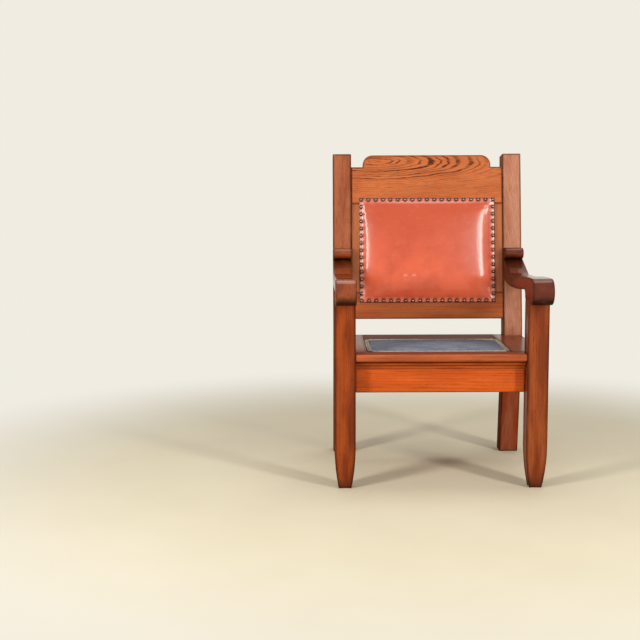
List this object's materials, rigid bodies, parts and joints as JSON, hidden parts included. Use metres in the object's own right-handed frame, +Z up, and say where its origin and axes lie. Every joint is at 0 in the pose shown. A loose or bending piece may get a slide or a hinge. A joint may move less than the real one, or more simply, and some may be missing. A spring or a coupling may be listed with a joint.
{
  "type": "library armchair",
  "caption": "Oak library armchair with square legs, raked posts, scroll arms, a shaped crest rail, a nailed leather back and an inset cloth seat pad.",
  "frame": {"origin": "floor level, under the centre of the chair's overall width and depth", "axes": "+Z up, +X to the right of someone facing the chair's front, +Y from the front to the back of the chair; the sitter faces -Y"},
  "size_m": [0.672, 0.7091, 1.067],
  "materials": {
    "stained_oak": "red-brown stained oak, rubbed polish",
    "stained_oak_bright": "orange-brown stained oak, rubbed polish",
    "bare_wood": "unfinished hardwood, planed",
    "leather": "smooth leather, dull sheen",
    "seat_cloth": "woven cloth",
    "braid": "woven braid",
    "stuffing": "stuffing, hidden",
    "bronzed_nails": "darkened bronze finish, domed",
    "brass_nails": "bright brass",
    "steel_screws": "plain steel"
  },
  "bodies": {
    "root": {"front_leg_left": "stained_oak", "front_leg_right": "stained_oak", "rear_post_left": "stained_oak", "rear_post_right": "stained_oak", "arm_left": "stained_oak", "arm_right": "stained_oak", "arm_screws": "steel_screws", "arm_screw_plugs": "stained_oak", "crest_rail": "stained_oak_bright", "back_stile_left": "stained_oak_bright", "back_stile_right": "stained_oak_bright", "lower_back_rail": "stained_oak_bright", "back_board": "bare_wood", "back_stuffing": "stuffing", "back_leather": "leather", "back_nails": "bronzed_nails", "outside_back_leather": "leather", "outside_back_nails": "bronzed_nails", "front_apron": "stained_oak_bright", "side_rail_left": "stained_oak", "side_rail_right": "stained_oak", "rear_rail": "stained_oak", "rail_dowels": "bare_wood", "corner_block_front_left": "bare_wood", "corner_block_front_right": "bare_wood", "corner_block_rear_left": "bare_wood", "corner_block_rear_right": "bare_wood", "corner_block_screws": "steel_screws", "front_moulding": "stained_oak_bright", "seat_front_board": "stained_oak_bright", "seat_side_board_left": "stained_oak", "seat_side_board_right": "stained_oak", "seat_back_board": "stained_oak", "seat_cleat_front": "bare_wood", "seat_cleat_back": "bare_wood", "seat_cleat_left": "bare_wood", "seat_cleat_right": "bare_wood", "cleat_screws": "steel_screws", "seat_panel": "bare_wood", "panel_screws": "steel_screws", "seat_stuffing": "stuffing", "seat_cover": "seat_cloth", "seat_gimp": "braid", "seat_nails": "brass_nails"}
  },
  "joints": []
}
